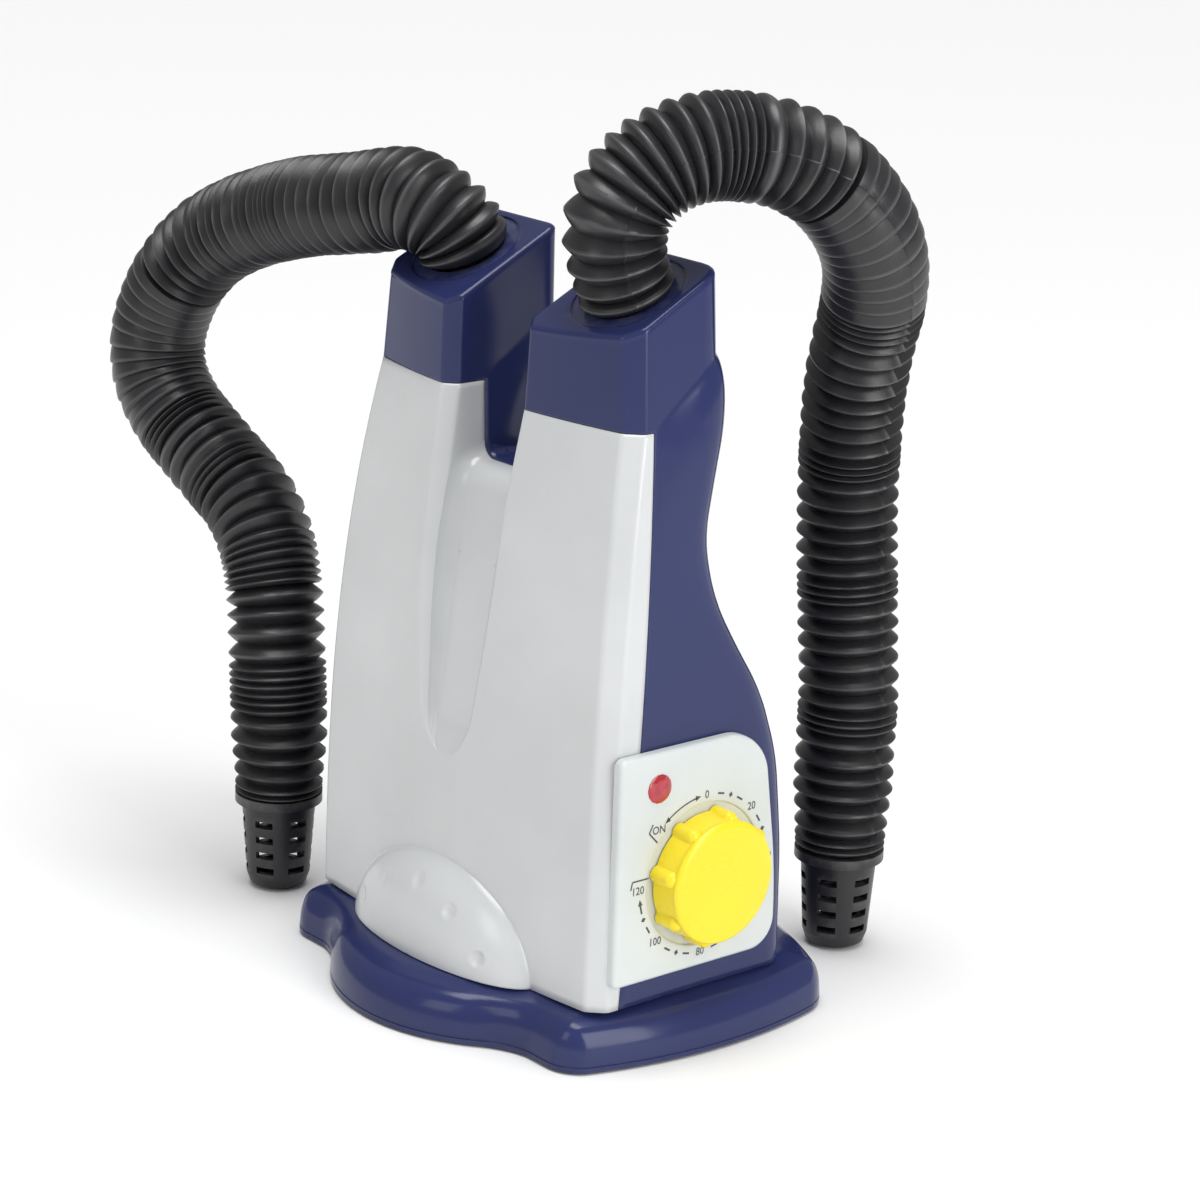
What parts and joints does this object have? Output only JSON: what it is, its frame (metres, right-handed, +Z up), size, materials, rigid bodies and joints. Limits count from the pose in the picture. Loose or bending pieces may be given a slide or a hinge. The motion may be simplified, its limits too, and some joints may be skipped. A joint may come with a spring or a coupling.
{
  "type": "boot dryer",
  "caption": "Upright boot dryer with two outlet towers, stay-put bellows hoses that end in vented nozzles, a timer knob on the side, and a fan and heater inside.",
  "frame": {"origin": "on the floor, under the middle of the casing's box, measured without the hoses and nozzles", "axes": "+Z up, the white front faces -Y, the timer panel faces +X"},
  "size_m": [0.3575, 0.2239, 0.3596],
  "materials": {
    "blue_plastic": "glossy moulded",
    "white_plastic": "satin-gloss moulded",
    "yellow_plastic": "glossy moulded",
    "black_plastic": "fine matt texture",
    "grey_plastic": "matt moulded",
    "ivory_plastic": "matt moulded",
    "bellows_black": "satin bellows",
    "rubber_black": "matt",
    "red_lens": "clear red, faceted",
    "neon_glass": "clear",
    "zinc_steel": "zinc plated",
    "lamination_steel": "stacked sheet",
    "brass_part": "turned",
    "copper_winding": "varnished",
    "mica_sheet": "layered",
    "heater_wire": "oxidised",
    "wire_red": "sleeved"
  },
  "bodies": {
    "casing": {"base_cover": "blue_plastic", "base_plate": "black_plastic", "rubber_feet": "rubber_black", "base_screws": "zinc_steel", "front_shell": "white_plastic", "rear_shell": "blue_plastic", "shell_screws": "zinc_steel", "intake_grille": "blue_plastic", "cord_gland": "rubber_black", "collar_left": "blue_plastic", "collar_right": "blue_plastic", "control_panel": "white_plastic", "panel_screws": "zinc_steel", "lamp_lens": "red_lens", "neon_lamp": "neon_glass", "timer_body": "ivory_plastic", "timer_screws": "zinc_steel", "stator": "lamination_steel", "motor_coil": "copper_winding", "bracket_lower": "zinc_steel", "bracket_upper": "zinc_steel", "bearing_lower": "brass_part", "bearing_upper": "brass_part", "motor_screws": "zinc_steel", "fan_shroud": "black_plastic", "heater_tube": "zinc_steel", "heater_frame": "mica_sheet", "heater_coil": "heater_wire", "thermostat": "zinc_steel", "thermal_fuse": "mica_sheet", "duct_manifold": "grey_plastic", "duct_left": "grey_plastic", "duct_right": "grey_plastic", "terminal_block": "ivory_plastic", "wiring": "wire_red", "hose_left": "bellows_black", "hose_right": "bellows_black", "nozzle_left": "black_plastic", "nozzle_right": "black_plastic"},
    "timer_knob": {"timer_shaft": "brass_part", "knob": "yellow_plastic"},
    "fan": {"rotor": "lamination_steel", "motor_shaft": "zinc_steel", "impeller": "black_plastic"}
  },
  "joints": [
    {"name": "timer_turn", "type": "hinge", "parent": "casing", "child": "timer_knob", "pos_m": [0.0928, -0.001, 0.07], "axis": [1, 0, 0], "range_deg": [-270, 45]},
    {"name": "fan_spin", "type": "hinge", "parent": "casing", "child": "fan", "pos_m": [-0.01, -0.003, 0.058], "axis": [0, 0, 1], "continuous": true}
  ]
}
